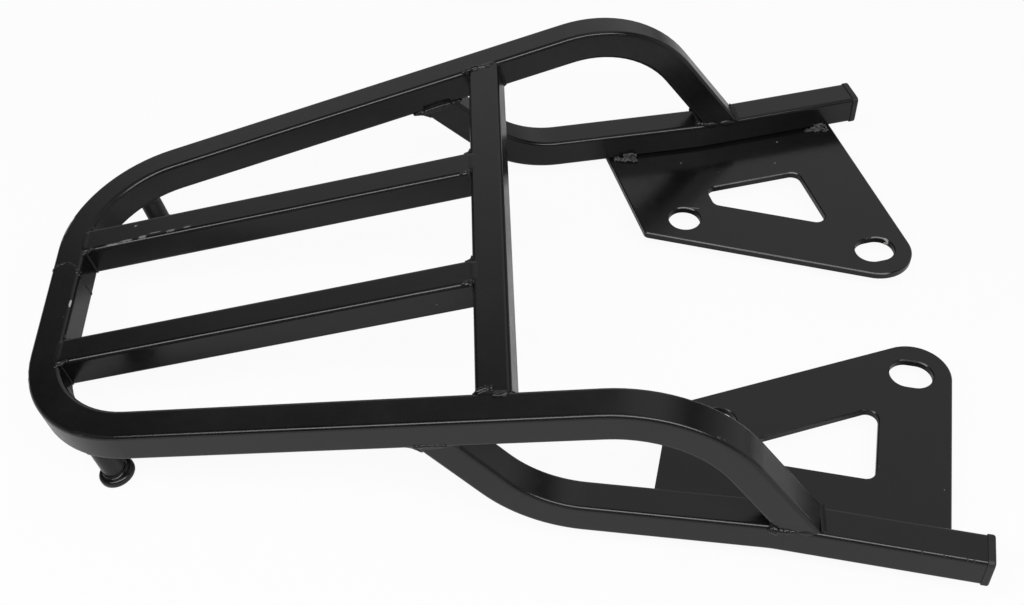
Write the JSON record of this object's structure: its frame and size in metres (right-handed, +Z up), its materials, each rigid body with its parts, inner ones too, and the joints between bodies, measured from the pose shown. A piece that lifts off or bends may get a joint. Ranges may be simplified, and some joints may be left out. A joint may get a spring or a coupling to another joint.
{
  "type": "motorcycle luggage rack",
  "caption": "Welded square-tube motorcycle luggage rack: a tilted hoop deck with lengthwise slats, carried on kinked side tubes with bolt-on mounting plates, end caps and cord pegs.",
  "frame": {"origin": "centre of the rack's length and width, at the level of the lowest rims of the cord pegs; the undersides of the mounting plates lie 10 mm higher", "axes": "+X towards the front of the motorcycle, +Y to its left, +Z up, square to the mounting plates"},
  "size_m": [0.4396, 0.333, 0.0978],
  "materials": {
    "black_paint": "satin",
    "weld": "satin",
    "cap_plastic": "matte"
  },
  "bodies": {
    "root": {"main_hoop": "black_paint", "crossbar": "black_paint", "weld_hoop_seam": "weld", "slat_left": "black_paint", "slat_right": "black_paint", "side_tube_left": "black_paint", "side_tube_right": "black_paint", "mount_plate_left": "black_paint", "mount_plate_right": "black_paint", "cord_peg_left": "black_paint", "cord_peg_right": "black_paint", "end_cap_left": "cap_plastic", "end_cap_right": "cap_plastic", "weld_crossbar_left": "weld", "weld_crossbar_right": "weld", "weld_slat_front_left": "weld", "weld_slat_front_right": "weld", "weld_slat_rear_left": "weld", "weld_slat_rear_right": "weld", "weld_leg_left": "weld", "weld_leg_right": "weld", "weld_brace_left": "weld", "weld_brace_right": "weld", "weld_peg_left": "weld", "weld_peg_right": "weld", "weld_plate_front_left": "weld", "weld_plate_front_right": "weld", "weld_plate_rear_left": "weld", "weld_plate_rear_right": "weld"}
  },
  "joints": []
}
